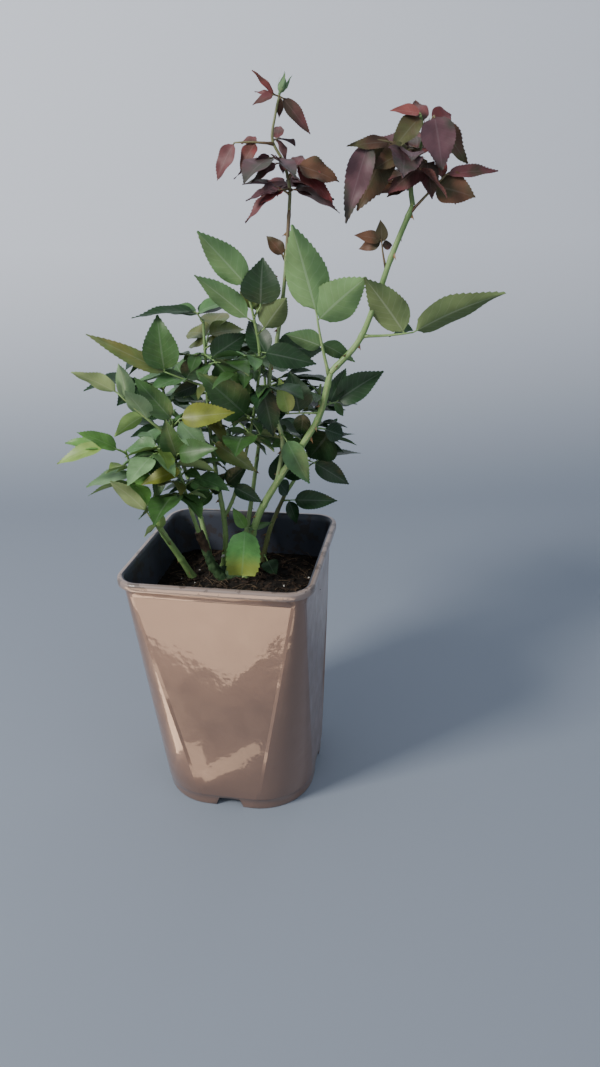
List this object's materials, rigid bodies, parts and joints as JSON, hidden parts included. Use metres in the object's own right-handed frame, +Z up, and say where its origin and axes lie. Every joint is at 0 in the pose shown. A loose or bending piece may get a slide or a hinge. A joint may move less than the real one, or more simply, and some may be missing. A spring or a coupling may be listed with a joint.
{
  "type": "potted rose bush",
  "caption": "Young shrub rose with green canes, green lower leaves and dark red new growth, in a deep square taupe plastic pot.",
  "frame": {"origin": "centre of the flat pad under the pot, on the ground", "axes": "+Z up, +X to the right and +Y away when the plant is seen from its front; the pot is turned 11 degrees clockwise about +Z"},
  "size_m": [0.4245, 0.3068, 0.7165],
  "materials": {
    "pot_plastic": "smooth taupe moulded plastic with a soft shine",
    "potting_soil": "dark damp compost with bark chips",
    "old_wood": "dull brown bark",
    "green_cane": "smooth green bark with thorns",
    "red_leaf": "young dark red leaves with a satin face",
    "green_leaf": "mid green leaves, paler underneath"
  },
  "bodies": {
    "root": {"pot": "pot_plastic", "soil": "potting_soil", "old_stub": "old_wood", "bud_union": "old_wood", "right_cane": "green_cane", "right_cane_upper": "green_cane", "tall_cane": "green_cane", "left_cane": "green_cane", "middle_cane": "green_cane", "centre_cane": "green_cane", "back_right_cane": "green_cane", "back_left_cane": "green_cane", "back_cane": "green_cane", "red_shoot": "red_leaf", "tall_leaf": "red_leaf", "right_top": "red_leaf", "right_top_side": "red_leaf", "tall_top": "red_leaf", "low_leaf": "green_leaf", "fork_leaf": "green_leaf", "right_leaf": "green_leaf", "node_leaf_left": "green_leaf", "node_leaf_right": "green_leaf", "node_leaf_back": "green_leaf", "twig_leaf_low": "green_leaf", "twig_leaf_top": "green_leaf", "hanging_leaf": "green_leaf", "middle_low": "green_leaf", "middle_low_right": "green_leaf", "right_low": "green_leaf", "back_low": "green_leaf", "soil_leaf": "green_leaf", "left_crown": "green_leaf", "left_spray": "green_leaf", "shoot_crown": "green_leaf", "middle_crown": "green_leaf", "centre_crown": "green_leaf", "back_right_crown": "green_leaf", "back_left_crown": "green_leaf", "back_crown": "green_leaf"}
  },
  "joints": []
}
